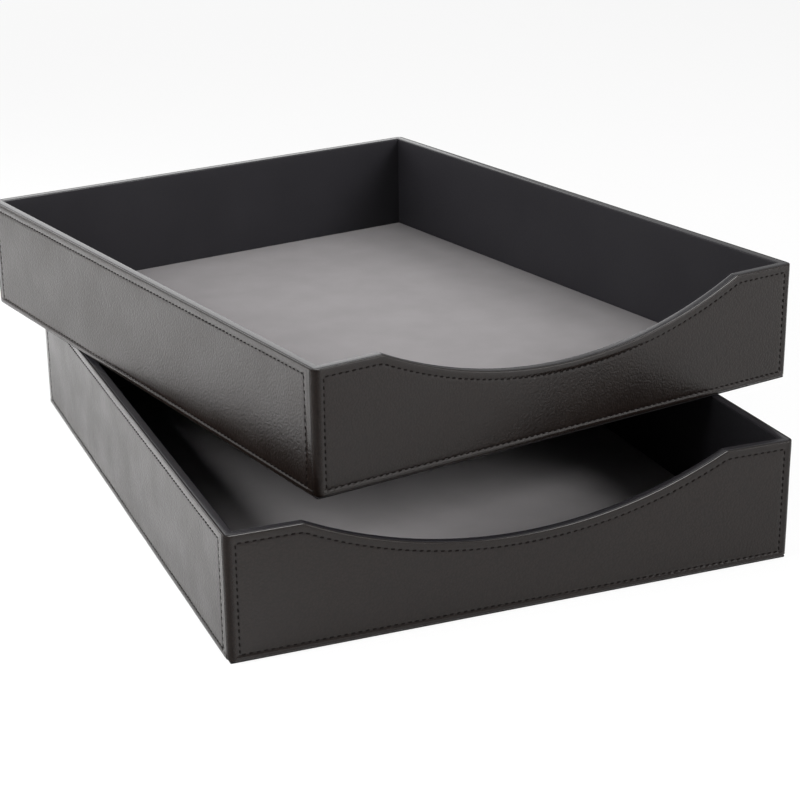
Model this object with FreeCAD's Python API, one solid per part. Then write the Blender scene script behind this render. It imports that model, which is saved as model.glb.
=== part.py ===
import FreeCAD, Part
import math
import os

# Stack of two leather-covered document trays, in millimetres and degrees.
# The origin is the middle of the lower tray's underside, +Z is up and the
# scooped fronts face -Y. Each wall is worked out lying along X with its outer
# face at y = 0 and its inside towards +Y, and is then turned to its place.

# Outside of one tray
tray_width = 254.0
tray_length = 324.0
tray_height = 55.0
corner_round = 3.0

# Layers of a wall, from the outside in
cover_thickness = 1.0
board_thickness = 3.2
lining_thickness = 0.8

# Layers of the floor, from the underside up
felt_thickness = 1.0
base_thickness = 3.0
floor_lining_thickness = 1.0
felt_inset = 0.8
felt_corner_round = 0.5

# Finger scoop in the front wall
shoulder_width = 33.0
scoop_depth = 21.7
shoulder_round = 3.0

# Soft edges of the leather panels and of the rim, and the easing of the boards' corners
panel_edge_round = 0.6
rim_edge_round = 0.6
corner_ease = 0.3

# Stitched seam round each panel
stitch_inset = 3.6
stitch_low_inset = 2.7
stitch_end_inset = 4.6
thread_width = 0.7
thread_thickness = 0.35
groove_depth = 0.45
groove_clearance = 0.15

# Brads that hold the boards together, set below the face of the boards
brad_diameter = 1.2
brad_length = 18.0
brad_head_diameter = 2.0
brad_head_thickness = 0.5
brad_point_length = 2.0
brad_set_depth = 0.3
brad_clearance = 0.05
corner_brad_count = 3
front_brad_count = 4
side_brad_count = 5

# How the upper tray stands on the lower one
upper_turn_degrees = 11.5
upper_shift_across = 9.6
upper_shift_back = 40.4
stacking_clearance = 0.2

# Sizes that follow from the driving dimensions
wall_thickness = cover_thickness + board_thickness + lining_thickness
board_depth = cover_thickness + board_thickness
base_top = felt_thickness + base_thickness
board_top = tray_height - lining_thickness
inner_corner_round = max(corner_round - cover_thickness, 0.0)
board_corner_round = inner_corner_round + corner_ease
scoop_half = tray_width / 2 - shoulder_width
scoop_radius = (scoop_half**2 + scoop_depth**2) / (2 * scoop_depth)
scoop_centre = tray_height - scoop_depth + scoop_radius

# Roundings, limited by the layer that carries them
panel_round = min(panel_edge_round, 0.6 * cover_thickness)
rim_round = min(rim_edge_round, 0.8 * lining_thickness)

ORIGIN = FreeCAD.Vector(0, 0, 0)
ACROSS = FreeCAD.Vector(1, 0, 0)
INWARD = FreeCAD.Vector(0, 1, 0)
UP = FreeCAD.Vector(0, 0, 1)
TOUCH = 1e-4

# The walls in their order round the tray, each a quarter turn after the last
WALLS = ("front", "right", "back", "left")


def vector(x, y, z):
    return FreeCAD.Vector(x, y, z)


def outline(steps):
    """Closed face from a start point and steps to further points.

    A step is one point for a straight run, or a middle and an end point for an arc.
    """
    start = steps[0][0]
    here = start
    edges = []
    for step in steps[1:] + [(start,)]:
        end = step[-1]
        if here.distanceToPoint(end) > TOUCH:
            if len(step) == 2:
                edges.append(Part.Arc(here, step[0], end).toShape())
            else:
                edges.append(Part.LineSegment(here, end).toShape())
        here = end
    return Part.Face(Part.Wire(edges))


def on_circle(centre_u, centre_v, radius, degrees):
    """Point of a circle in a plane, as its two coordinates."""
    angle = math.radians(degrees)
    return centre_u + radius * math.cos(angle), centre_v + radius * math.sin(angle)


def faces_towards(solid, direction, least=0.5):
    """Faces of a solid that look along a direction at their middle."""
    chosen = []
    for face in solid.Faces:
        u_low, u_high, v_low, v_high = face.ParameterRange
        normal = face.normalAt((u_low + u_high) / 2, (v_low + v_high) / 2)
        if normal.dot(direction) > least:
            chosen.append(face)
    return Part.Compound(chosen)


def lies_on(edge, shape):
    """Whether an edge lies on a shape, tested at its ends and its middle."""
    first, last = edge.ParameterRange
    samples = [first, (first + last) / 2, last]
    points = [Part.Vertex(edge.valueAt(sample)) for sample in samples]
    return all(shape.distToShape(point)[0] < TOUCH for point in points)


def round_edges(solid, radius, *shapes):
    """Rounds each edge of a solid that lies on all the shapes given."""
    chosen = [edge for edge in solid.Edges if all(lies_on(edge, shape) for shape in shapes)]
    return solid.makeFillet(radius, chosen)


def scoop_steps(near, inset):
    """Steps across the scoop from its right shoulder to its left one.

    The scoop is one arc, concentric at every inset. A smaller arc joins it to the
    level shoulder while the inset leaves room for one.
    """
    top = tray_height - inset
    radius = scoop_radius + inset
    blend = max(shoulder_round - inset, 0.0)
    rise = scoop_centre - top + blend
    blend_x = math.sqrt((radius + blend) ** 2 - rise**2)
    lowest = vector(0, near, scoop_centre - radius)
    if blend == 0.0:
        return [(vector(blend_x, near, top),), (lowest, vector(-blend_x, near, top))]
    share = radius / (radius + blend)
    touch_x = blend_x * share
    touch_z = scoop_centre - rise * share
    lean = math.atan2(blend_x, rise) / 2
    middle_x = blend_x - blend * math.sin(lean)
    middle_z = top - blend + blend * math.cos(lean)
    return [
        (vector(blend_x, near, top),),
        (vector(middle_x, near, middle_z), vector(touch_x, near, touch_z)),
        (lowest, vector(-touch_x, near, touch_z)),
        (vector(-middle_x, near, middle_z), vector(-blend_x, near, top)),
    ]


def wall_slab(half_width, low, top_inset, scooped, near, far):
    """Slab of a wall from depth near to depth far, with the wall's outline."""
    top = tray_height - top_inset
    steps = [(vector(-half_width, near, low),), (vector(half_width, near, low),)]
    steps.append((vector(half_width, near, top),))
    if scooped:
        steps += scoop_steps(near, top_inset)
    steps.append((vector(-half_width, near, top),))
    return outline(steps).extrude(INWARD * (far - near))


def wrap_plan(half):
    """Plan of a cover that turns round both upright corners and ends behind them."""

    def corner(side, offset, radius, degrees):
        x, y = on_circle(side * (half - offset - radius), offset + radius, radius, degrees)
        return vector(x, y, felt_thickness)

    outer = corner_round
    inner = inner_corner_round
    depth = cover_thickness
    return outline(
        [
            (corner(-1, 0, outer, 180),),
            (corner(-1, 0, outer, 225), corner(-1, 0, outer, 270)),
            (corner(1, 0, outer, 270),),
            (corner(1, 0, outer, 315), corner(1, 0, outer, 0)),
            (vector(half - depth, corner_round, felt_thickness),),
            (corner(1, depth, inner, 0),),
            (corner(1, depth, inner, 315), corner(1, depth, inner, 270)),
            (corner(-1, depth, inner, 270),),
            (corner(-1, depth, inner, 225), corner(-1, depth, inner, 180)),
            (vector(-half + depth, corner_round, felt_thickness),),
        ]
    )


def mitre_plan(half):
    """Plan of a lining, mitred at both ends, with its outer corners eased."""
    centre = cover_thickness + board_corner_round
    mitre = on_circle(centre, centre, board_corner_round, 225)[0]
    bend_x, bend_y = on_circle(centre, centre, board_corner_round, 247.5)

    def end(side, inset, depth):
        return vector(side * (half - inset), depth, base_top)

    return outline(
        [
            (end(-1, mitre, mitre),),
            (end(-1, bend_x, bend_y), end(-1, centre, cover_thickness)),
            (end(1, centre, cover_thickness),),
            (end(1, bend_x, bend_y), end(1, mitre, mitre)),
            (end(1, wall_thickness, wall_thickness),),
            (end(-1, wall_thickness, wall_thickness),),
        ]
    )


def cover(half, end_inset, scooped):
    """Leather panel with soft outer edges and a pressed groove for its stitches."""
    panel_half = half - end_inset
    solid = wall_slab(panel_half, felt_thickness, 0, scooped, 0, cover_thickness)
    if not end_inset:
        wrap = wrap_plan(half).extrude(UP * (tray_height - felt_thickness))
        deep = wall_slab(half, felt_thickness, 0, scooped, 0, corner_round)
        solid = wrap.common(deep).Solids[0]
    outside = faces_towards(solid, -INWARD)
    rim = faces_towards(solid, UP)
    ends = [faces_towards(solid, way, 0.9) for way in (-UP, INWARD, ACROSS, -ACROSS)]
    solid = round_edges(solid, panel_round, outside, Part.Compound([rim] + ends))
    return solid.cut(stitch_ring(panel_half, scooped, groove_clearance, 0, groove_depth))


def stitch_ring(panel_half, scooped, clearance, near, far):
    """Band that runs round a panel along its stitches, widened by a clearance."""
    reach = thread_width / 2 + clearance
    slabs = []
    for offset in (-reach, reach):
        half_width = panel_half - stitch_end_inset - offset
        low = felt_thickness + stitch_low_inset + offset
        slabs.append(wall_slab(half_width, low, stitch_inset + offset, scooped, near, far))
    return slabs[0].cut(slabs[1])


def thread(panel_half, scooped):
    """Seam thread, laid on the bottom of the pressed groove."""
    return stitch_ring(panel_half, scooped, 0, groove_depth - thread_thickness, groove_depth)


def board(half, overlaps, scooped):
    """Wall board, from corner to corner or set between the two that overlap it."""
    reach = half - cover_thickness if overlaps else half - board_depth
    slab = wall_slab(reach, felt_thickness, lining_thickness, scooped, cover_thickness, board_depth)
    if not overlaps:
        return slab
    outside = faces_towards(slab, -INWARD)
    ends = [faces_towards(slab, way) for way in (ACROSS, -ACROSS)]
    return round_edges(slab, board_corner_round, outside, Part.Compound(ends))


def lining(half, scooped):
    """Inner lining that stands on the base board and turns over the rim."""
    body = mitre_plan(half).extrude(UP * (tray_height - base_top))
    whole = wall_slab(half, base_top, 0, scooped, 0, wall_thickness)
    backing = wall_slab(half, 0, lining_thickness, scooped, 0, board_depth)
    solid = body.common(whole).cut(backing).Solids[0]
    rim = faces_towards(whole, UP)
    inside = faces_towards(whole, INWARD)
    return round_edges(solid, rim_round, rim, inside)


def brad_start():
    """Depth of a brad's head, below the eased corner that the corner brads go through."""
    head_edge = board_corner_round - board_thickness / 2 + brad_head_diameter / 2 + brad_clearance
    head_edge = min(max(head_edge, 0.0), board_corner_round)
    eased = board_corner_round - math.sqrt(board_corner_round**2 - head_edge**2)
    return cover_thickness + eased + brad_set_depth


def brad(clearance, start):
    """Headed brad along +Y from the depth start, or the hole that takes it."""
    shank = brad_diameter / 2 + clearance
    head = brad_head_diameter / 2 + clearance
    below = brad_start()
    neck = below + brad_head_thickness + clearance
    point = below + brad_length - brad_point_length
    tip = below + brad_length + clearance
    profile = [(0, start), (head, start), (head, neck), (shank, neck), (shank, point), (0, tip)]
    face = outline([(vector(x, y, 0),) for x, y in profile])
    return face.revolve(ORIGIN, INWARD, 360)


def spread(count, low, high):
    """Evenly spaced places between two limits, half a step in from each."""
    step = (high - low) / count
    return [low + step * (index + 0.5) for index in range(count)]


def brad_places():
    """Where the brads of each wall start, as (wall, place along it, height)."""
    places = []
    side_middle = tray_width / 2 - cover_thickness - board_thickness / 2
    base_middle = felt_thickness + base_thickness / 2
    inner_width = tray_width / 2 - board_depth
    inner_length = tray_length / 2 - board_depth
    for wall in ("front", "back"):
        for height in spread(corner_brad_count, base_top, board_top):
            places += [(wall, side * side_middle, height) for side in (-1, 1)]
        for along in spread(front_brad_count, -inner_width, inner_width):
            places.append((wall, along, base_middle))
    for wall in ("left", "right"):
        for along in spread(side_brad_count, -inner_length, inner_length):
            places.append((wall, along, base_middle))
    return places


def wall_half(wall):
    """Half the length of a wall."""
    return tray_width / 2 if wall in ("front", "back") else tray_length / 2


def stand(shape, wall):
    """Turns a wall's piece to its side of the tray and sets it at the outside."""
    distance = tray_width / 2 + tray_length / 2 - wall_half(wall)
    placed = shape.copy()
    placed.translate(INWARD * -distance)
    placed.rotate(ORIGIN, UP, 90 * WALLS.index(wall))
    return placed


def brad_group(clearance, start):
    """Every brad of one tray, or every hole."""
    group = []
    for wall, along, height in brad_places():
        single = brad(clearance, start)
        single.translate(vector(along, 0, height))
        group.append(stand(single, wall))
    return Part.Compound(group)


def centred_box(width, length, low, thickness):
    """Flat block over the middle of the tray."""
    return Part.makeBox(width, length, thickness, vector(-width / 2, -length / 2, low))


def underside_felt():
    """Felt sheet under the whole tray, cut square a little inside its outline."""
    width = tray_width - 2 * felt_inset
    length = tray_length - 2 * felt_inset
    sheet = centred_box(width, length, 0, felt_thickness)
    long_sides = Part.Compound([faces_towards(sheet, way) for way in (ACROSS, -ACROSS)])
    short_sides = Part.Compound([faces_towards(sheet, way) for way in (INWARD, -INWARD)])
    return round_edges(sheet, felt_corner_round, long_sides, short_sides)


def tray():
    """All the pieces of one tray by name, standing on z = 0 over the origin."""
    pieces = {}
    for wall in WALLS:
        half = wall_half(wall)
        overlaps = wall in ("front", "back")
        scooped = wall == "front"
        end_inset = 0 if overlaps else corner_round
        pieces[wall + "_board"] = stand(board(half, overlaps, scooped), wall)
        pieces[wall + "_cover"] = stand(cover(half, end_inset, scooped), wall)
        pieces[wall + "_lining"] = stand(lining(half, scooped), wall)
        pieces[wall + "_thread"] = stand(thread(half - end_inset, scooped), wall)
    width = tray_width - 2 * board_depth
    length = tray_length - 2 * board_depth
    pieces["base_board"] = centred_box(width, length, felt_thickness, base_thickness)
    holes = brad_group(brad_clearance, cover_thickness)
    for name in [name for name in pieces if name.endswith("_board")]:
        pieces[name] = pieces[name].cut(holes)
    pieces["brads"] = brad_group(0, brad_start())
    width = tray_width - 2 * wall_thickness
    length = tray_length - 2 * wall_thickness
    pieces["floor_lining"] = centred_box(width, length, base_top, floor_lining_thickness)
    pieces["underside_felt"] = underside_felt()
    return pieces


def save(prefix, pieces, turn, shift):
    """Writes each piece of a tray, turned and shifted to its place in the stack."""
    for name, shape in pieces.items():
        placed = shape.copy()
        placed.rotate(ORIGIN, UP, turn)
        placed.translate(shift)
        placed.exportStep("parts/" + prefix + "_" + name + ".step")


os.makedirs("parts", exist_ok=True)
pieces = tray()
save("lower", pieces, 0, ORIGIN)
raised = tray_height + stacking_clearance
save("upper", pieces, upper_turn_degrees, vector(upper_shift_across, upper_shift_back, raised))
for name, shape in pieces.items():
    print(name, len(shape.Solids), "solids", shape.isValid(), round(shape.Volume, 1), "mm3")
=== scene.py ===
import math

import bpy
import numpy as np
from mathutils import Matrix, Vector


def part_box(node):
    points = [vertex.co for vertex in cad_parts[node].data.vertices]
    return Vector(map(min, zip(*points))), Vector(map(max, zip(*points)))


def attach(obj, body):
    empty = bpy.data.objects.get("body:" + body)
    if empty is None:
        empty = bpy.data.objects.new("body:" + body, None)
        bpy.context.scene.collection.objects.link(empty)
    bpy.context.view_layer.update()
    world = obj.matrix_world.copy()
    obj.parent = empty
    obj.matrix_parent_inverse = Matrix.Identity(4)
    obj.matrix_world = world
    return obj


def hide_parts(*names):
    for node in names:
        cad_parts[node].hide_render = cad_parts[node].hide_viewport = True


# A stack of two leather-covered document trays. Sizes are in millimetres, and a mesh is
# brought to metres when it is made. Each wall is worked out lying along x, with its outer
# face at depth y = 0 and z up from the tray's underside, and is then turned to its side of
# the tray and set in the stack.

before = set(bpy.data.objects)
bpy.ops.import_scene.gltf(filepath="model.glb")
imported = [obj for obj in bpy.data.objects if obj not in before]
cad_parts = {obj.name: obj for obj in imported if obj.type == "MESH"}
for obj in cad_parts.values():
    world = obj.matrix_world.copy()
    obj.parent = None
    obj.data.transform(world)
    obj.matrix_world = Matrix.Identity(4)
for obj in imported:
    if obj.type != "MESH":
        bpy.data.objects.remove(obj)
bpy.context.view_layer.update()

MM = 0.001
TRAYS = ("lower", "upper")
WALLS = ("front", "right", "back", "left")
WRAPPING_WALLS = ("front", "back")


def box_mm(node):
    """Lowest and highest corner of a node, in millimetres."""
    low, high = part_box(node)
    return np.array(low) / MM, np.array(high) / MM


# Sizes of one tray, read from the frame
tray_width = box_mm("lower_right_cover")[1][0] - box_mm("lower_left_cover")[0][0]
tray_length = box_mm("lower_back_cover")[1][1] - box_mm("lower_front_cover")[0][1]
leather_bottom, tray_height = (corner[2] for corner in box_mm("lower_left_cover"))
floor_low, floor_high = box_mm("lower_floor_lining")
felt_low, felt_high = box_mm("lower_underside_felt")
floor_width, floor_length = (floor_high - floor_low)[:2]
felt_width, felt_length = (felt_high - felt_low)[:2]
wall_thickness = (tray_width - floor_width) / 2

# Leather panels, lining, suede floor and felt
corner_round = 3.0
cover_thickness = 1.0
lining_thickness = 0.8
lining_corner = 2.3
floor_corner = 0.8
floor_roll = 0.3
felt_corner = 0.5
felt_roll = 0.4

# Finger scoop of the front wall
shoulder_width = 33.0
scoop_depth = 21.7
shoulder_round = 3.0
scoop_half = tray_width / 2 - shoulder_width
scoop_radius = (scoop_half**2 + scoop_depth**2) / (2 * scoop_depth)
scoop_centre = tray_height - scoop_depth + scoop_radius

# Relief of a leather panel: rolled edges, the pressed seam and its holes, the soft field
bead_radius = 0.6
bead_turn = math.pi
end_roll = 0.5
bottom_roll = 0.8
seam_inset = 3.6
seam_end_inset = 4.6
seam_low_inset = 2.7
seam_depth = 0.08
seam_width = 0.7
hole_depth = 0.16
hole_size = 0.55
border_swell = 0.1
border_fall = 0.08
lip_swell = 0.28
lip_reach = 0.9
field_swell = 0.15
field_reach = 6.0
drawn_start = 1.0
drawn_reach = 2.0

# Slow waves of the hide: height, length, and how the two sets of crests lean
hide_wave = 0.05
hide_wavelength = 85.0
crest_lean = 0.6
cross_crest_rise = 1.7
cross_crest_lean = 0.45
cross_crest_phase = 1.0

# Share of the leather's thickness that the relief may take
relief_limit = 0.97

# Grid lines of a leather panel, the close ones as shares of a stitch
columns_per_stitch = 4
close_lines = np.array([0.07, 0.15])
end_columns = 16
bottom_rows = 14
rim_rows = 8
bead_rows = 12
seam_samples = 4001

# Stitches
stitch_pitch = 3.07
thread_radius = 0.5
thread_lift = -0.3
thread_dive = 1.6
thread_slant = 0.16
thread_taper = 0.5
thread_sides = 6
thread_rings = np.array([0.0, 0.1, 0.28, 0.5, 0.72, 0.9, 1.0])

# Rim of the lining, and the points of its section
rim_outer_roll = 0.6
rim_inner_roll = 0.9
rim_crown = 0.04
roll_points = 7
crown_points = 7
wall_points = 11
sheen_points = 4
# Strength of the painted shade in the tuck behind the leather, over the first points of the section
painted_shade_fade = np.array([1, 1, 1, 0.7, 0.3])

# Sections along a lining, some of them crowded towards the ends
lining_step = 0.6
end_crowding = 0.3
crowding_turn = math.pi / 2 * 0.98

# Points and rings of a flat plate
plate_corner_points = 6
plate_run_points = 39
plate_face_rings = 8
plate_edge_rings = 9

# Size of one cell of each pattern
pebble_size = 1.0
pore_size = 0.45
dye_patch = 22.0
lining_grain = 0.8
lining_patch = 30.0
nap_size = 0.7
brush_stroke = 18.0
thread_fibre = 0.3
felt_fibre = 0.9
board_fleck = 1.5
wire_scratch = 0.4


def turn_of(tray):
    """Angle by which a tray is turned on the stack.

    A floor of width w and length l, turned by an angle, fills a box of w cos + l sin by
    w sin + l cos. The two sums are solved for the cosine and the sine.
    """
    low, high = box_mm(tray + "_floor_lining")
    across, along = (high - low)[:2]
    spread = floor_width**2 - floor_length**2
    cosine = (across * floor_width - along * floor_length) / spread
    sine = (along * floor_width - across * floor_length) / spread
    return math.atan2(sine, cosine)


def turned(points, angle):
    """Points turned about the z axis."""
    x, y, z = np.moveaxis(points, -1, 0)
    cosine, sine = math.cos(angle), math.sin(angle)
    return np.stack([x * cosine - y * sine, x * sine + y * cosine, z], axis=-1)


def in_stack(points, tray):
    """Points of a tray, from the middle of its underside to their place in the stack."""
    low, high = box_mm(tray + "_floor_lining")
    shift = (low + high) / 2
    shift[2] = box_mm(tray + "_underside_felt")[0][2]
    return turned(points, turn_of(tray)) + shift


def half_length(wall):
    """Half the length of a wall."""
    return (tray_width if wall in WRAPPING_WALLS else tray_length) / 2


def in_tray(points, wall):
    """Points of a wall, turned to its side of the tray and set at the outside."""
    distance = (tray_width + tray_length) / 2 - half_length(wall)
    quarter = math.pi / 2 * WALLS.index(wall)
    return turned(points - np.array([0, distance, 0]), quarter)


def top_line(wall, x, inset=0.0):
    """Height of a wall's top edge at x, or of the line that follows it at an inset below.

    The edge is level, except at the front: there the scoop is an arc about a centre above
    the tray, concentric at every inset, and a small arc joins it to each level shoulder
    while the inset leaves room for one.
    """
    top = tray_height - inset
    if wall != "front":
        return np.full_like(x, top)
    radius = scoop_radius + inset
    blend = max(shoulder_round - inset, 0.0)
    rise = scoop_centre - top + blend
    blend_x = math.sqrt((radius + blend) ** 2 - rise**2)
    touch_x = blend_x * radius / (radius + blend)
    side = np.abs(x)
    arc = scoop_centre - np.sqrt(np.maximum(radius**2 - side**2, 0))
    bend = top - blend + np.sqrt(np.maximum(blend**2 - (side - blend_x) ** 2, 0))
    return np.where(side < touch_x, arc, np.where(side < blend_x, bend, top))


def panel_ends(wall):
    """Where a panel ends and where its upright seam runs, along the unrolled panel.

    The front and back panels go on round the tray's corners for a quarter turn, and the
    side panels end where those begin.
    """
    half = half_length(wall)
    if wall in WRAPPING_WALLS:
        return half - corner_round + corner_round * math.pi / 2, half - seam_end_inset
    return half - corner_round, half - corner_round - seam_end_inset


def stitch_counts(wall):
    """Number of stitches along a panel and up its ends."""
    seam_half = panel_ends(wall)[1]
    upright = tray_height - leather_bottom - seam_inset - seam_low_inset
    return round(2 * seam_half / stitch_pitch), round(upright / stitch_pitch)


def top_seam(wall, shares):
    """Places along x that divide the top seam by shares of its length."""
    seam_half = panel_ends(wall)[1]
    x = np.linspace(-seam_half, seam_half, seam_samples)
    z = top_line(wall, x, seam_inset)
    length = np.concatenate([[0], np.cumsum(np.hypot(np.diff(x), np.diff(z)))])
    return np.interp(shares * length[-1], length, x)


def seam_steps(count):
    """Places along a seam in stitches: evenly spaced, closer together beside both ends."""
    even = np.arange(count * columns_per_stitch + 1) / columns_per_stitch
    return np.sort(np.concatenate([even, close_lines, count - close_lines]))


def edge_steps(reach, count):
    """Distances from an edge, from none up to a reach, closest together at the edge."""
    return reach * (1 - np.cos(np.linspace(0, math.pi / 2, count + 1)[:-1]))


def roll(distance, radius):
    """Drop of a rolled edge: a quarter circle that ends level at its radius."""
    return np.sqrt(radius**2 - np.clip(radius - distance, 0, radius) ** 2) - radius


def panel_grid(wall):
    """Unrolled panel as a grid of places (s along, z up) and its relief.

    Columns pass through the holes of the top and the bottom seam, rows through those of
    the end seams, and both go on to the edges in closing steps. The relief is the sum of
    the rolled edges, a bell-shaped trough along the seam, a bell-shaped dimple at every
    hole, a raised border outside the seam that falls back to the top edge, a lip along the
    bottom that fades out round the corners, a swelling field and slow waves. The last array
    holds marks for the material: smooth on the pressed border outside the seam, drawn where
    the panel goes round a corner, burnished on the bead along the top edge.
    """
    end_half, seam_half = panel_ends(wall)
    along_count, up_count = stitch_counts(wall)
    along, up = seam_steps(along_count), seam_steps(up_count)
    outer = edge_steps(end_half - seam_half, end_columns)
    border = edge_steps(seam_low_inset, bottom_rows)
    bead = np.linspace(0, bead_turn, bead_rows + 1)[1:]
    rim_inset = np.linspace(seam_inset, bead_radius, rim_rows + 1)[1:]
    rim_inset = np.concatenate([rim_inset, bead_radius * (1 - np.sin(bead))])
    rim_drop = np.concatenate([np.zeros(rim_rows), bead_radius * (1 - np.cos(bead))])

    s_end = end_half - outer
    s_low = np.concatenate([-s_end, (2 * along / along_count - 1) * seam_half, s_end[::-1]])
    s_top = np.concatenate([-s_end, top_seam(wall, along / along_count), s_end[::-1]])
    beyond = np.full(len(s_end), np.inf)
    to_hole = np.abs(along - np.round(along)) * stitch_pitch
    to_hole = np.concatenate([beyond, to_hole, beyond])

    seam_low = leather_bottom + seam_low_inset
    seam_top = top_line(wall, s_top, seam_inset)
    edge_top = top_line(wall, s_top)
    low_rows = leather_bottom + border[:, None] + 0 * s_top
    middle_rows = seam_low + up[:, None] / up_count * (seam_top - seam_low)
    share = rim_inset[:, None] / seam_inset
    top_rows = edge_top + share * (seam_top - edge_top)
    z = np.concatenate([low_rows, middle_rows, top_rows])
    rise = np.concatenate([0 * border, up / up_count, 0 * rim_inset + 1])[:, None]
    s = s_low + rise * (s_top - s_low)
    to_end_hole = np.abs(up - np.round(up)) * stitch_pitch
    below, above = np.full(len(border), np.inf), np.full(len(rim_inset), np.inf)
    to_end_hole = np.concatenate([below, to_end_hole, above])[:, None]

    from_low = z - seam_low
    from_top = np.concatenate([seam_top - low_rows, seam_top - middle_rows,
                               (share - 1) * seam_inset + 0 * s_top])
    from_end = seam_half - np.abs(s)
    inside = np.minimum(np.minimum(from_low, from_top), from_end)

    relief = roll(from_low + seam_low_inset, bottom_roll) + roll(end_half - np.abs(s), end_roll)
    relief[-len(rim_drop) :] -= rim_drop[:, None]
    relief -= seam_depth * np.exp(-((inside / seam_width) ** 2))
    nearest = np.minimum(from_low**2, from_top**2) + to_hole**2
    nearest = np.minimum(nearest, from_end**2 + to_end_hole**2)
    relief -= hole_depth * np.exp(-nearest / hole_size**2)
    relief += border_swell * np.sin(math.pi * np.clip(-inside / seam_inset, 0, 1)) ** 2
    relief -= border_fall * np.clip(-from_top / seam_inset, 0, 1) ** 2
    drawn = np.clip((-from_end - drawn_start) / drawn_reach, 0, 1) * (wall in WRAPPING_WALLS)
    lip = np.sin(math.pi / 2 * np.clip(-from_low / lip_reach, 0, 1)) ** 2
    relief += lip_swell * lip * (1 - drawn)
    relief += field_swell * (1 - np.exp(-np.maximum(inside, 0) / field_reach))
    wave = 2 * math.pi / hide_wavelength
    crests = np.sin(wave * (s + crest_lean * z))
    cross_crests = np.sin(wave * (cross_crest_rise * z - cross_crest_lean * s) + cross_crest_phase)
    relief += hide_wave * crests * cross_crests
    smooth = np.clip(0.5 - inside / seam_width, 0, 1)
    burnished = np.zeros_like(s)
    burnished[-bead_rows:] = 1
    marks = {"smooth": smooth, "drawn": drawn, "burnished": burnished}
    return s, z, np.maximum(relief, -relief_limit * cover_thickness), marks


def rolled_up(wall, s, z, relief):
    """Places of an unrolled panel on its wall, with the panel's ends bent round the corners."""
    start = half_length(wall) - corner_round
    turn = np.clip((np.abs(s) - start) / corner_round, 0, math.pi / 2)
    reach = corner_round + relief
    x = np.sign(s) * (np.minimum(np.abs(s), start) + reach * np.sin(turn))
    return np.stack([x, corner_round - reach * np.cos(turn), z], axis=-1)


def grid_faces(rows, columns, closed=False):
    """Quads between the points of a grid, row by row, its columns closed to a ring or not."""
    row, column = np.meshgrid(np.arange(rows - 1), np.arange(columns - (not closed)), indexing="ij")
    beside = (column + 1) % columns
    corners = [row * columns + column, row * columns + beside]
    corners += [(row + 1) * columns + beside, (row + 1) * columns + column]
    return np.stack(corners, axis=-1).reshape(-1, 4)


def leather_panel(wall):
    """Closed leather panel: the relief grid in front, its border drawn back and a plain back."""
    s, z, relief, marks = panel_grid(wall)
    rows, columns = s.shape
    index = np.arange(rows * columns).reshape(rows, columns)
    loop = np.concatenate([index[0, :-1], index[:-1, -1], index[-1, :0:-1], index[:0:-1, 0]])
    back = np.full(len(loop), -cover_thickness)
    front_points = rolled_up(wall, s, z, relief).reshape(-1, 3)
    back_points = rolled_up(wall, s.ravel()[loop], z.ravel()[loop], back)

    ring = rows * columns + np.arange(len(loop))
    ahead = np.roll(np.arange(len(loop)), -1)
    edge = np.stack([loop[ahead], loop, ring, ring[ahead]], axis=-1)
    low = ring[: columns]
    top = ring[columns + rows - 2 : 2 * columns + rows - 2][::-1]
    left = np.concatenate([[low[0]], ring[: 2 * columns + rows - 4 : -1]])
    right = ring[columns - 1 : columns + rows - 1]
    plain = np.stack([low[2:-1], low[1:-2], top[1:-2], top[2:-1]], axis=-1)
    ends = [[low[1], *left, top[1]], [low[-2], top[-2], *right[::-1]]]
    faces = np.concatenate([grid_faces(rows, columns), edge, plain]).tolist() + ends
    marks = {name: mark.ravel() for name, mark in marks.items()}
    marks = {name: np.concatenate([mark, mark[loop]]) for name, mark in marks.items()}
    return np.concatenate([front_points, back_points]), faces, marks


def seam_holes(wall):
    """Ends of every stitch round a panel, as two arrays of places (x, z)."""
    seam_half = panel_ends(wall)[1]
    along_count, up_count = stitch_counts(wall)
    shares = np.linspace(0, 1, along_count + 1)
    low = leather_bottom + seam_low_inset
    x_top = top_seam(wall, shares)
    x_low = (2 * shares - 1) * seam_half
    z_end = np.linspace(low, tray_height - seam_inset, up_count + 1)
    runs = [np.stack([x_top, top_line(wall, x_top, seam_inset)], axis=-1)]
    runs.append(np.stack([x_low, np.full_like(x_low, low)], axis=-1))
    runs += [np.stack([np.full_like(z_end, side * seam_half), z_end], axis=-1) for side in (-1, 1)]
    return np.concatenate([run[:-1] for run in runs]), np.concatenate([run[1:] for run in runs])


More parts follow.
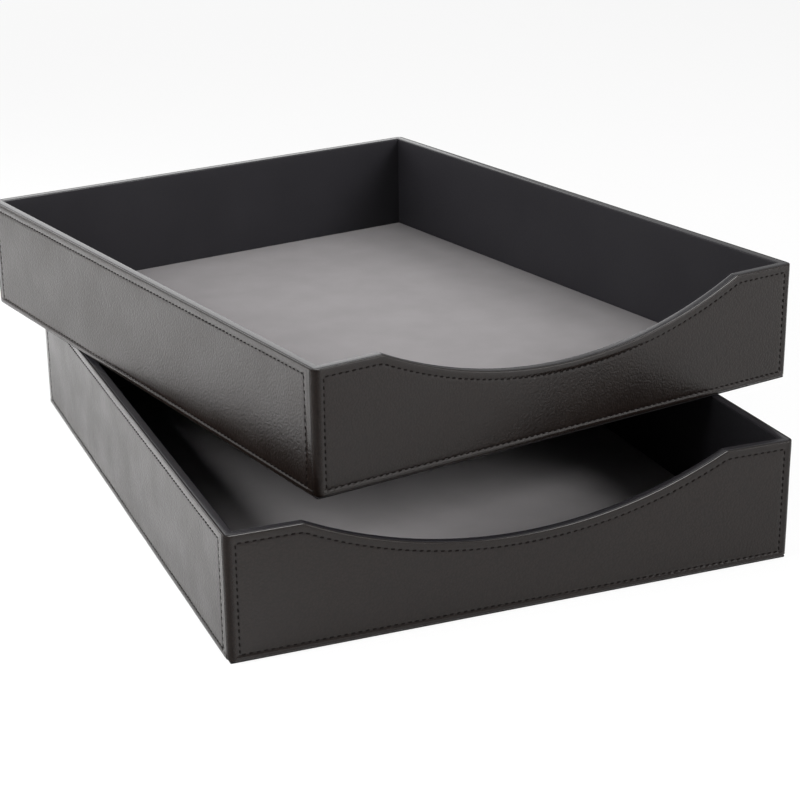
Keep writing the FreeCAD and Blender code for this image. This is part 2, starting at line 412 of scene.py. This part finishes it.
def stitched_thread(wall):
    """Every stitch of a panel: a six-sided ring carried from hole to hole.

    Its middle lies in the pressed seam, its ends dive into the holes with the fourth power
    of the distance from the middle and taper with the sixth, and it crosses the seam at a
    slight slant.
    """
    start, end = seam_holes(wall)
    step = (end - start)[:, None, None, :]
    along = step / np.linalg.norm(step, axis=-1, keepdims=True)
    across = np.stack([-along[..., 1], along[..., 0]], axis=-1)
    share = thread_rings[None, :, None, None]
    angle = (np.arange(thread_sides) * 2 * math.pi / thread_sides)[None, None, :, None]
    off = np.abs(2 * share - 1)
    radius = thread_radius * np.sqrt(1 - thread_taper * off**6)
    sideways = thread_slant * (share - 0.5) * 2 + radius * np.cos(angle)
    plane = start[:, None, None, :] + step * share + across * sideways
    height = thread_lift - thread_dive * off**4 + radius * np.sin(angle)
    height = np.broadcast_to(height, plane.shape[:-1] + (1,))
    points = np.concatenate([plane[..., :1], -height, plane[..., 1:]], axis=-1)

    rings = len(thread_rings)
    one = rings * thread_sides
    first = np.arange(len(start)) * one
    tube = grid_faces(rings, thread_sides, closed=True)
    tubes = (first[:, None, None] + tube).reshape(-1, 4)
    cap = np.arange(thread_sides)
    caps = np.concatenate([first[:, None] + cap[::-1], first[:, None] + one - thread_sides + cap])
    return points.reshape(-1, 3), tubes.tolist() + caps.tolist()


def lining_profile():
    """Section of a lining as depth, rise from the top edge, and share of the way to the floor.

    It starts in the seam behind the leather, goes over the crowned rim and its rolled inner
    edge, down the inside of the wall and back up against the board. The last array holds
    marks for the material: smooth on top of the rim, where the lining is drawn tight, and
    painted shade in the tuck where it goes down behind the leather.
    """
    quarter = np.linspace(0, math.pi / 2, roll_points)
    outer = cover_thickness + rim_outer_roll
    inner = wall_thickness - rim_inner_roll
    crown = np.linspace(outer, inner, crown_points + 2)[1:-1]
    span = (inner - outer) / 2
    bulge = rim_crown * (1 - ((crown - outer - span) / span) ** 2)
    depth = [outer - rim_outer_roll * np.cos(quarter), crown, inner + rim_inner_roll * np.sin(quarter)]
    rise = [rim_outer_roll * (np.sin(quarter) - 1), bulge, rim_inner_roll * (np.cos(quarter) - 1)]
    down = np.linspace(0, 1, wall_points + 1)[1:]
    depth += [np.full(len(down), wall_thickness), np.full(2, wall_thickness - lining_thickness)]
    rise += [-rim_inner_roll * (1 - down), np.array([0, -lining_thickness])]
    share = [np.zeros(2 * roll_points + crown_points), down, np.array([1, 0])]
    depth.append(np.array([cover_thickness]))
    rise.append(np.array([-lining_thickness]))
    share.append(np.zeros(1))
    smooth = np.zeros(sum(map(len, depth)))
    smooth[len(painted_shade_fade) : roll_points + crown_points + sheen_points] = 1
    # Painted shade in the tuck behind the leather, fading over the first points of the section
    painted_shade_in_tuck = np.zeros_like(smooth)
    painted_shade_in_tuck[: len(painted_shade_fade)] = painted_shade_fade
    marks = {"smooth": smooth, "painted_shade_in_tuck": painted_shade_in_tuck}
    return np.concatenate(depth), np.concatenate(rise), np.concatenate(share), marks


def wall_lining(wall):
    """Lining of a wall: its section carried along the wall and mitred at both ends.

    At each end the section is cut at x = half length - depth, and its outer corner follows
    the round of the tray's corner.
    """
    half = half_length(wall)
    depth, rise, share, marks = lining_profile()
    centre = cover_thickness + lining_corner
    mitre = centre - lining_corner * math.sqrt(0.5)
    count = int(2 * half / lining_step)
    even = np.linspace(-1, 1, count)
    crowded = np.sin(even * crowding_turn) / math.sin(crowding_turn)
    shares = end_crowding * crowded + (1 - end_crowding) * even
    x = shares[:, None] * (half - np.maximum(depth, mitre))
    past = np.clip(np.abs(x) - (half - centre), 0, lining_corner)
    y = np.maximum(depth, centre - np.sqrt(lining_corner**2 - past**2))
    z = (1 - share) * (top_line(wall, x) + rise) + share * floor_low[2]
    points = np.stack([x, y + 0 * x, z], axis=-1)
    section = len(depth)
    faces = grid_faces(count, section, closed=True).tolist()
    ends = [list(range(section))[::-1], list(range((count - 1) * section, count * section))]
    marks = {name: np.tile(mark, count) for name, mark in marks.items()}
    return points.reshape(-1, 3), faces + ends, marks


def plate_outline(width, length, corner):
    """Outline of a plate: four corner arcs with straight runs between them."""
    arc = np.linspace(0, math.pi / 2, plate_corner_points)
    run = np.linspace(0, 1, plate_run_points + 2)[1:-1, None]
    corners = []
    for quarter, (side_x, side_y) in enumerate([(1, 1), (-1, 1), (-1, -1), (1, -1)]):
        angle = arc + quarter * math.pi / 2
        middle = np.array([side_x * (width / 2 - corner), side_y * (length / 2 - corner)])
        corners.append(middle + corner * np.stack([np.cos(angle), np.sin(angle)], axis=-1))
    pieces = []
    for here, ahead in zip(corners, corners[1:] + corners[:1]):
        pieces += [here, here[-1] + run * (ahead[0] - here[-1])]
    return np.concatenate(pieces)


def plate(width, length, corner, low, high, edge_roll):
    """Flat plate: its outline carried out from the middle, round a rolled edge and back in.

    The edge is a half ellipse between both faces, and the middle of each face is one point.
    The corners tighten by half of what the outline is drawn in.
    """
    shares = np.linspace(0, 1, plate_face_rings + 2)[1:-1]
    bend = np.linspace(math.pi / 2, -math.pi / 2, plate_edge_rings)
    rings = []
    middle, reach = (low + high) / 2, (high - low) / 2
    rim = plate_outline(width - 2 * edge_roll, length - 2 * edge_roll, corner - edge_roll / 2)
    for share in shares:
        rings.append(np.column_stack([rim * share, np.full(len(rim), high)]))
    for angle in bend:
        inset = edge_roll * (1 - math.cos(angle))
        line = plate_outline(width - 2 * inset, length - 2 * inset, corner - inset / 2)
        height = middle + reach * math.sin(angle)
        rings.append(np.column_stack([line, np.full(len(line), height)]))
    for share in shares[::-1]:
        rings.append(np.column_stack([rim * share, np.full(len(rim), low)]))
    around = len(rim)
    points = np.concatenate(rings + [np.array([[0, 0, high], [0, 0, low]])])
    last = (len(rings) - 1) * around
    ring = np.arange(around)
    ahead = np.roll(ring, -1)
    faces = grid_faces(len(rings), around, closed=True)[:, ::-1].tolist()
    top_middle = np.full(around, last + around)
    faces += np.stack([ring, ahead, top_middle], axis=-1).tolist()
    faces += np.stack([last + ahead, last + ring, top_middle + 1], axis=-1).tolist()
    return points, faces


def linear(code):
    """Linear colour of an sRGB hex value."""
    channel = np.array([int(code[at : at + 2], 16) for at in (1, 3, 5)]) / 255
    bright = ((channel + 0.055) / 1.055) ** 2.4
    return (*np.where(channel <= 0.04045, channel / 12.92, bright).tolist(), 1.0)


def per_metre(size):
    """Texture scale at which one cell of a pattern is that many millimetres."""
    return 1 / (size * MM)


def node(tree, kind, inputs=None, **settings):
    """Adds a node with its settings, and gives its inputs values or links.

    An input goes by its name, or by its number: 1 and 2 are the low and high end that a Map
    Range takes in, 3 and 4 those that it gives, and a colour Mix goes from 6 to 7 by 0.
    """
    made = tree.nodes.new(kind)
    for name, value in settings.items():
        setattr(made, name, value)
    for socket, value in (inputs or {}).items():
        if isinstance(value, bpy.types.NodeSocket):
            tree.links.new(value, made.inputs[socket])
        else:
            made.inputs[socket].default_value = value
    return made


def new_material(name):
    """Empty material and its node tree."""
    material = bpy.data.materials.new(name)
    material.use_nodes = True
    material.node_tree.nodes.clear()
    return material, material.node_tree


def finish_material(tree, shader):
    """Joins a shader to the material's output."""
    node(tree, "ShaderNodeOutputMaterial", {"Surface": shader.outputs[0]})


def pebbled_leather():
    """Bonded leather, dyed near black and embossed with a fine pebble grain.

    Small domes break up a soft low sheen, and the colour is darkened in the creases
    between them as painted shade. The dye is a little uneven from place to place.
    The border outside the seam is pressed smoother, and the leather is duller where it is
    drawn round a corner. The bead along the top edge is burnished, so it draws a thin bright line.
    """
    material, tree = new_material("pebbled_leather")
    where = node(tree, "ShaderNodeTexCoord").outputs["Object"]
    pebble = node(tree, "ShaderNodeTexVoronoi",
                  {"Vector": where, "Scale": per_metre(pebble_size), "Smoothness": 0.4},
                  feature="SMOOTH_F1").outputs["Distance"]
    pores = node(tree, "ShaderNodeTexNoise",
                 {"Vector": where, "Scale": per_metre(pore_size), "Detail": 2.0}).outputs["Fac"]
    patches = node(tree, "ShaderNodeTexNoise",
                   {"Vector": where, "Scale": per_metre(dye_patch), "Detail": 3.0}).outputs["Fac"]
    grain = node(tree, "ShaderNodeMath", {0: pores, 1: 0.35, 2: pebble},
                 operation="MULTIPLY_ADD").outputs[0]
    dome = node(tree, "ShaderNodeMath", {0: 1.0, 1: grain}, operation="SUBTRACT").outputs[0]
    dye = node(tree, "ShaderNodeMix", {0: patches, 6: linear("#140f0d"), 7: linear("#1b1512")},
               data_type="RGBA").outputs[2]
    # Painted shade: the colour is darkened towards near black in the creases between the domes
    crease_painted_shade = node(tree, "ShaderNodeMapRange",
                  {"Value": grain, 1: 0.45, 2: 0.85, 3: 0.0, 4: 0.6}).outputs[0]
    colour = node(tree, "ShaderNodeMix", {0: crease_painted_shade, 6: dye, 7: linear("#0d0908")},
                  data_type="RGBA").outputs[2]
    smooth = node(tree, "ShaderNodeAttribute", attribute_name="smooth").outputs["Fac"]
    rough = node(tree, "ShaderNodeMapRange", {"Value": patches, 1: 0.3, 2: 0.7, 3: 0.28, 4: 0.36}).outputs[0]
    rough = node(tree, "ShaderNodeMath", {0: smooth, 1: -0.1, 2: rough},
                 operation="MULTIPLY_ADD").outputs[0]
    relief = node(tree, "ShaderNodeMapRange", {"Value": smooth, 3: 0.7, 4: 0.3}).outputs[0]
    bump = node(tree, "ShaderNodeBump",
                {"Height": dome, "Strength": relief, "Distance": 0.13 * MM}).outputs[0]
    drawn = node(tree, "ShaderNodeAttribute", attribute_name="drawn").outputs["Fac"]
    burnished = node(tree, "ShaderNodeAttribute", attribute_name="burnished").outputs["Fac"]
    polish = node(tree, "ShaderNodeMapRange", {"Value": burnished, 3: 0.5, 4: 1.0}).outputs[0]
    sheen = node(tree, "ShaderNodeMath", {0: drawn, 1: -0.35, 2: polish},
                 operation="MULTIPLY_ADD").outputs[0]
    shader = node(tree, "ShaderNodeBsdfPrincipled",
                  {"Base Color": colour, "Roughness": rough, "Normal": bump, "IOR": 1.35,
                   "Specular IOR Level": sheen})
    finish_material(tree, shader)
    return material


def smooth_lining():
    """Lining leather, matte black with a faint fine grain.

    It has a low sheen where it turns over the rim. In the tuck behind the outer leather its
    colour is darkened to near black as painted shade.
    """
    material, tree = new_material("smooth_lining_leather")
    where = node(tree, "ShaderNodeTexCoord").outputs["Object"]
    grain = node(tree, "ShaderNodeTexNoise",
                 {"Vector": where, "Scale": per_metre(lining_grain), "Detail": 3.0}).outputs["Fac"]
    patches = node(tree, "ShaderNodeTexNoise",
                   {"Vector": where, "Scale": per_metre(lining_patch), "Detail": 2.0}).outputs["Fac"]
    colour = node(tree, "ShaderNodeMix", {0: patches, 6: linear("#1c1b1e"), 7: linear("#232225")},
                  data_type="RGBA").outputs[2]
    # Painted shade: the colour is darkened to near black in the tuck behind the outer leather
    painted_shade_in_tuck = node(tree, "ShaderNodeAttribute", attribute_name="painted_shade_in_tuck").outputs["Fac"]
    colour = node(tree, "ShaderNodeMix", {0: painted_shade_in_tuck, 6: colour, 7: linear("#060606")},
                  data_type="RGBA").outputs[2]
    smooth = node(tree, "ShaderNodeAttribute", attribute_name="smooth").outputs["Fac"]
    rough = node(tree, "ShaderNodeMapRange", {"Value": grain, 1: 0.3, 2: 0.7, 3: 0.52, 4: 0.62}).outputs[0]
    rough = node(tree, "ShaderNodeMath", {0: smooth, 1: -0.36, 2: rough},
                 operation="MULTIPLY_ADD").outputs[0]
    sheen = node(tree, "ShaderNodeMapRange", {"Value": smooth, 3: 0.25, 4: 0.5}).outputs[0]
    sheen = node(tree, "ShaderNodeMath", {0: painted_shade_in_tuck, 1: -0.2, 2: sheen},
                 operation="MULTIPLY_ADD").outputs[0]
    bump = node(tree, "ShaderNodeBump",
                {"Height": grain, "Strength": 0.35, "Distance": 0.08 * MM}).outputs[0]
    shader = node(tree, "ShaderNodeBsdfPrincipled",
                  {"Base Color": colour, "Roughness": rough, "Normal": bump, "Specular IOR Level": sheen})
    finish_material(tree, shader)
    return material


def brushed_suede():
    """Brushed suede cloth on the floor, charcoal grey and quite dull, with a short soft nap."""
    material, tree = new_material("brushed_suede_cloth")
    where = node(tree, "ShaderNodeTexCoord").outputs["Object"]
    nap = node(tree, "ShaderNodeTexNoise",
               {"Vector": where, "Scale": per_metre(nap_size), "Detail": 4.0}).outputs["Fac"]
    strokes = node(tree, "ShaderNodeTexNoise",
                   {"Vector": where, "Scale": per_metre(brush_stroke), "Detail": 2.0}).outputs["Fac"]
    colour = node(tree, "ShaderNodeMix", {0: strokes, 6: linear("#807d7e"), 7: linear("#8c898a")},
                  data_type="RGBA").outputs[2]
    rough = node(tree, "ShaderNodeMapRange", {"Value": nap, 1: 0.3, 2: 0.7, 3: 0.8, 4: 0.95}).outputs[0]
    bump = node(tree, "ShaderNodeBump",
                {"Height": nap, "Strength": 0.4, "Distance": 0.1 * MM}).outputs[0]
    shader = node(tree, "ShaderNodeBsdfPrincipled",
                  {"Base Color": colour, "Roughness": rough, "Normal": bump, "Specular IOR Level": 0.3})
    finish_material(tree, shader)
    return material


def waxed_thread():
    """Twisted polyester thread, waxed, a shade darker than the leather."""
    material, tree = new_material("waxed_thread")
    where = node(tree, "ShaderNodeTexCoord").outputs["Object"]
    fibre = node(tree, "ShaderNodeTexNoise",
                 {"Vector": where, "Scale": per_metre(thread_fibre), "Detail": 2.0}).outputs["Fac"]
    colour = node(tree, "ShaderNodeMix", {0: fibre, 6: linear("#070505"), 7: linear("#100c0b")},
                  data_type="RGBA").outputs[2]
    rough = node(tree, "ShaderNodeMapRange", {"Value": fibre, 1: 0.3, 2: 0.7, 3: 0.7, 4: 0.9}).outputs[0]
    bump = node(tree, "ShaderNodeBump",
                {"Height": fibre, "Strength": 0.5, "Distance": 0.06 * MM}).outputs[0]
    shader = node(tree, "ShaderNodeBsdfPrincipled",
                  {"Base Color": colour, "Roughness": rough, "Normal": bump, "Specular IOR Level": 0.1})
    finish_material(tree, shader)
    return material


def pressed_felt():
    """Pressed wool felt, black and dull, with short matted fibres."""
    material, tree = new_material("pressed_felt")
    where = node(tree, "ShaderNodeTexCoord").outputs["Object"]
    fibre = node(tree, "ShaderNodeTexNoise",
                 {"Vector": where, "Scale": per_metre(felt_fibre), "Detail": 6.0,
                  "Distortion": 1.2}).outputs["Fac"]
    colour = node(tree, "ShaderNodeMix", {0: fibre, 6: linear("#0f0e0e"), 7: linear("#232122")},
                  data_type="RGBA").outputs[2]
    rough = node(tree, "ShaderNodeMapRange", {"Value": fibre, 1: 0.3, 2: 0.7, 3: 0.88, 4: 1.0}).outputs[0]
    bump = node(tree, "ShaderNodeBump",
                {"Height": fibre, "Strength": 0.8, "Distance": 0.25 * MM}).outputs[0]
    shader = node(tree, "ShaderNodeBsdfPrincipled",
                  {"Base Color": colour, "Roughness": rough, "Normal": bump, "Specular IOR Level": 0.2})
    finish_material(tree, shader)
    return material


def fibreboard():
    """Medium density fibreboard, pale brown, with fine flecks of pressed wood fibre."""
    material, tree = new_material("fibreboard")
    where = node(tree, "ShaderNodeTexCoord").outputs["Object"]
    flecks = node(tree, "ShaderNodeTexNoise",
                  {"Vector": where, "Scale": per_metre(board_fleck), "Detail": 5.0,
                   "Distortion": 0.8}).outputs["Fac"]
    colour = node(tree, "ShaderNodeMix", {0: flecks, 6: linear("#7a5b3d"), 7: linear("#b3926a")},
                  data_type="RGBA").outputs[2]
    rough = node(tree, "ShaderNodeMapRange", {"Value": flecks, 1: 0.3, 2: 0.7, 3: 0.75, 4: 0.92}).outputs[0]
    bump = node(tree, "ShaderNodeBump",
                {"Height": flecks, "Strength": 0.4, "Distance": 0.1 * MM}).outputs[0]
    shader = node(tree, "ShaderNodeBsdfPrincipled",
                  {"Base Color": colour, "Roughness": rough, "Normal": bump})
    finish_material(tree, shader)
    return material


def drawn_steel():
    """Bright drawn steel wire, with faint scratches from the die."""
    material, tree = new_material("drawn_steel_wire")
    where = node(tree, "ShaderNodeTexCoord").outputs["Object"]
    scratch = node(tree, "ShaderNodeTexNoise",
                   {"Vector": where, "Scale": per_metre(wire_scratch), "Detail": 3.0}).outputs["Fac"]
    colour = node(tree, "ShaderNodeMix", {0: scratch, 6: linear("#b4b5b8"), 7: linear("#cfd0d2")},
                  data_type="RGBA").outputs[2]
    rough = node(tree, "ShaderNodeMapRange", {"Value": scratch, 1: 0.3, 2: 0.7, 3: 0.22, 4: 0.38}).outputs[0]
    shader = node(tree, "ShaderNodeBsdfPrincipled",
                  {"Base Color": colour, "Roughness": rough, "Metallic": 1.0})
    finish_material(tree, shader)
    return material


SOFT_ANGLE = math.radians(40)

leather = pebbled_leather()
lining = smooth_lining()
suede = brushed_suede()
thread = waxed_thread()
felt = pressed_felt()
board = fibreboard()
steel = drawn_steel()


def add_piece(name, points, faces, tray, material, replaced, marks=None):
    """Makes a piece of a tray from its points and faces, in place of the node it stands for."""
    mesh = bpy.data.meshes.new(name)
    mesh.from_pydata((in_stack(points, tray) * MM).tolist(), [], faces)
    mesh.polygons.foreach_set("use_smooth", np.ones(len(mesh.polygons), dtype=bool))
    mesh.set_sharp_from_angle(angle=SOFT_ANGLE)
    mesh.materials.append(material)
    for mark, values in (marks or {}).items():
        mesh.attributes.new(mark, "FLOAT", "POINT").data.foreach_set("value", values)
    mesh.validate()
    piece = bpy.data.objects.new(name, mesh)
    bpy.context.scene.collection.objects.link(piece)
    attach(piece, tray + "_tray")
    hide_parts(replaced)
    return piece


for wall in WALLS:
    panel, panel_faces, panel_marks = leather_panel(wall)
    stitches, stitch_faces = stitched_thread(wall)
    strip, strip_faces, strip_marks = wall_lining(wall)
    for tray in TRAYS:
        side = f"{tray}_{wall}"
        add_piece(side + "_leather", in_tray(panel, wall), panel_faces, tray, leather,
                  side + "_cover", panel_marks)
        add_piece(side + "_stitches", in_tray(stitches, wall), stitch_faces, tray, thread,
                  side + "_thread")
        add_piece(side + "_lining_strip", in_tray(strip, wall), strip_faces, tray, lining,
                  side + "_lining", strip_marks)

for tray in TRAYS:
    points, faces = plate(floor_width, floor_length, floor_corner, floor_low[2], floor_high[2], floor_roll)
    add_piece(tray + "_floor", points, faces, tray, suede, tray + "_floor_lining")
    points, faces = plate(felt_width, felt_length, felt_corner, felt_low[2], felt_high[2], felt_roll)
    sheet = add_piece(tray + "_felt", points, faces, tray, felt, tray + "_underside_felt")
    finishes = {f"{tray}_{part}_board": board for part in (*WALLS, "base")}
    finishes[tray + "_brads"] = steel
    for name, material in finishes.items():
        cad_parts[name].data.materials.clear()
        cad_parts[name].data.materials.append(material)

# Camera, worked out from the corners of both trays as they stand in the frame
camera_place = Vector((-315.1, -821.0, 362.6)) * MM
camera_azimuth = math.radians(-21.63)
camera_elevation = math.radians(20.32)
camera_roll = math.radians(-0.70)
focal_length = 88.02

# Floor: half its side in metres, and the share of plain white in what the camera sees of it
studio_half = 6.0
plain_white = 0.86


def add_camera():
    """Camera that looks along its azimuth and elevation and is rolled about that line."""
    backward = Vector((math.sin(camera_azimuth) * math.cos(camera_elevation),
                       -math.cos(camera_azimuth) * math.cos(camera_elevation),
                       math.sin(camera_elevation)))
    level = Vector((math.cos(camera_azimuth), math.sin(camera_azimuth), 0))
    upright = backward.cross(level)
    right = level * math.cos(camera_roll) + upright * math.sin(camera_roll)
    up = upright * math.cos(camera_roll) - level * math.sin(camera_roll)
    lens = bpy.data.cameras.new("camera")
    lens.lens = focal_length
    lens.clip_start, lens.clip_end = 0.01, 50
    camera = bpy.data.objects.new("camera", lens)
    turn = Matrix((right, up, backward)).transposed().to_4x4()
    camera.matrix_world = Matrix.Translation(camera_place) @ turn
    bpy.context.scene.collection.objects.link(camera)
    bpy.context.scene.camera = camera


def add_floor():
    """Wide pale floor, near white to the camera, that keeps the trays' shadow."""
    half = studio_half
    mesh = bpy.data.meshes.new("studio_floor")
    corners = [(-half, -half, 0), (half, -half, 0), (half, half, 0), (-half, half, 0)]
    mesh.from_pydata(corners, [], [(0, 1, 2, 3)])
    material, tree = new_material("matte_white_backdrop")
    matte = node(tree, "ShaderNodeBsdfDiffuse", {"Color": linear("#f2f2f2")})
    glow = node(tree, "ShaderNodeEmission", {"Color": (1, 1, 1, 1), "Strength": 1.0})
    seen = node(tree, "ShaderNodeLightPath").outputs["Is Camera Ray"]
    share = node(tree, "ShaderNodeMath", {0: seen, 1: plain_white}, operation="MULTIPLY").outputs[0]
    mixed = node(tree, "ShaderNodeMixShader", {0: share, 1: matte.outputs[0], 2: glow.outputs[0]})
    finish_material(tree, mixed)
    mesh.materials.append(material)
    floor = bpy.data.objects.new("studio_floor", mesh)
    bpy.context.scene.collection.objects.link(floor)


def add_world():
    """White surroundings for the camera, dimmer in the gloss, with an even low light for the rest."""
    world = bpy.data.worlds.new("studio")
    bpy.context.scene.world = world
    world.use_nodes = True
    tree = world.node_tree
    tree.nodes.clear()
    path = node(tree, "ShaderNodeLightPath").outputs
    gloss = node(tree, "ShaderNodeMapRange", {"Value": path["Is Glossy Ray"], 3: 0.15, 4: 0.45}).outputs[0]
    strength = node(tree, "ShaderNodeMath", {0: path["Is Camera Ray"], 1: gloss},
                    operation="MAXIMUM").outputs[0]
    light = node(tree, "ShaderNodeBackground", {"Color": (1, 1, 1, 1), "Strength": strength})
    node(tree, "ShaderNodeOutputWorld", {"Surface": light.outputs[0]})


def add_softbox(name, place, aim, size, power, lighting=True, mirrored=True):
    """Soft light of a width and a height at a place, aimed at a point and hidden from the camera.

    One that isn't mirrored lights the trays without showing in their gloss, and one that
    isn't lighting only shows there, like a white card.
    """
    lamp = bpy.data.lights.new(name, "AREA")
    lamp.shape = "RECTANGLE"
    lamp.size, lamp.size_y = size
    lamp.energy = power
    box = bpy.data.objects.new(name, lamp)
    way = Vector(aim) - Vector(place)
    turn = way.to_track_quat("-Z", "Y").to_matrix().to_4x4()
    box.matrix_world = Matrix.Translation(place) @ turn
    box.visible_camera = False
    box.visible_diffuse = lighting
    box.visible_glossy = mirrored
    bpy.context.scene.collection.objects.link(box)


add_camera()
add_floor()
add_world()

# Lamps and cards: place, aim, size in metres and power in watts
add_softbox("left_softbox", (-0.55, 0.12, 0.3), (-0.3, 0.13, 0), (0.9, 0.32), 7.9, mirrored=False)
add_softbox("back_softbox", (0.1, 2.2, 0.75), (0, 0, 0.05), (1.8, 1.8), 12)
add_softbox("front_softbox", (1.06, -1.17, 0.86), (0.05, -0.1, 0), (0.7, 0.7), 37, mirrored=False)
add_softbox("top_softbox", (0.15, 0, 1.2), (0, 0, 0.05), (0.7, 0.7), 3.5, mirrored=False)
add_softbox("front_card", (1.19, -1.24, 0.52), (0.05, -0.1, 0.05), (0.7, 0.9), 4.5, lighting=False)
add_softbox("top_card", (0.1, -0.15, 1.2), (0, -0.1, 0.05), (0.7, 0.7), 12, lighting=False)
add_softbox("left_card", (-0.8, 1.1, 0.3), (0, 0, 0.05), (1.4, 0.6), 2.2, lighting=False)
bpy.context.scene.view_settings.view_transform = "Standard"
